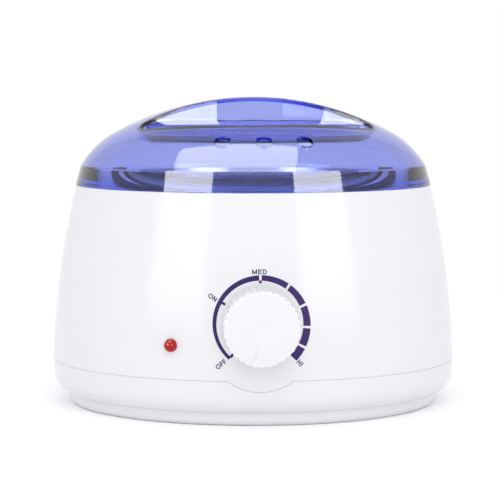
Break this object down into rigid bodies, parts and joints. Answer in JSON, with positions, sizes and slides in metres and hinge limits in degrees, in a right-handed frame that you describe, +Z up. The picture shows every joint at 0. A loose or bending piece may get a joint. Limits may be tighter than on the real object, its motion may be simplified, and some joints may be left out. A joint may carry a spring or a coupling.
{
  "type": "wax heater",
  "caption": "Pot-type wax heater: round body with a dial thermostat and a lamp, lift-out pot with a folding bail, see-through vented lid with a grip fin.",
  "frame": {"origin": "on the body's vertical axis, in the plane that the foot ring rests on", "axes": "+Z up; the dial faces -Y; +X to the right as seen from the dial"},
  "size_m": [0.1844, 0.2041, 0.1394],
  "materials": {
    "white_body": "white moulded plastic, high gloss",
    "white_knob": "white moulded plastic, satin to gloss",
    "blue_lid": "clear blue-violet moulded plastic, see-through, high gloss",
    "aluminium": "spun aluminium, satin",
    "black_plastic": "black heat-resisting moulded plastic",
    "steel": "zinc-plated steel",
    "brass": "turned brass",
    "ceramic": "off-white ceramic or thermoset",
    "mica": "mica sheet",
    "red_lens": "clear red moulded plastic",
    "bulb_glass": "clear glass",
    "silicone": "red-brown silicone",
    "rubber": "dark grey rubber"
  },
  "bodies": {
    "root": {"upper_housing": "white_body", "deck_ring": "white_body", "base_shell": "white_body", "heating_well": "aluminium", "well_gasket": "silicone", "well_screws": "steel", "base_screws": "steel", "foot_pad_1": "rubber", "foot_pad_2": "rubber", "foot_pad_3": "rubber", "foot_pad_4": "rubber", "heater_disc": "mica", "clamp_plate": "steel", "clamp_nut": "steel", "thermal_fuse": "ceramic", "fuse_clip": "steel", "thermostat_bracket": "steel", "thermostat_body": "ceramic", "thermostat_bush": "brass", "thermostat_nut": "brass", "lamp_lens": "red_lens", "lamp_bulb": "bulb_glass", "lamp_clip": "steel", "cord_gland": "black_plastic", "terminal_block": "ceramic", "terminal_screws": "steel"},
    "pot": {"wax_pot": "aluminium", "ear_left": "black_plastic", "ear_right": "black_plastic", "bail_pins": "steel"},
    "lid": {"lid": "blue_lid"},
    "bail": {"bail_handle": "black_plastic"},
    "dial": {"knob": "white_knob", "knob_clip": "steel", "thermostat_shaft": "steel"}
  },
  "joints": [
    {"name": "pot_lift", "type": "slide", "parent": "root", "child": "pot", "axis": [0, 0, 1], "range_m": [0, 0.12]},
    {"name": "lid_lift", "type": "slide", "parent": "pot", "child": "lid", "axis": [0, 0, 1], "range_m": [0, 0.12]},
    {"name": "bail_swing", "type": "hinge", "parent": "pot", "child": "bail", "pos_m": [0, 0, 0.1015], "axis": [-1, 0, 0], "range_deg": [0, 90]},
    {"name": "dial_turn", "type": "hinge", "parent": "root", "child": "dial", "pos_m": [0, -0.09, 0.0443], "axis": [0, 1, 0], "range_deg": [0, 299]}
  ],
  "couplings": [
    {"joint": "bail_swing", "follows": "lid_lift", "rad_per_m": 13.08}
  ]
}
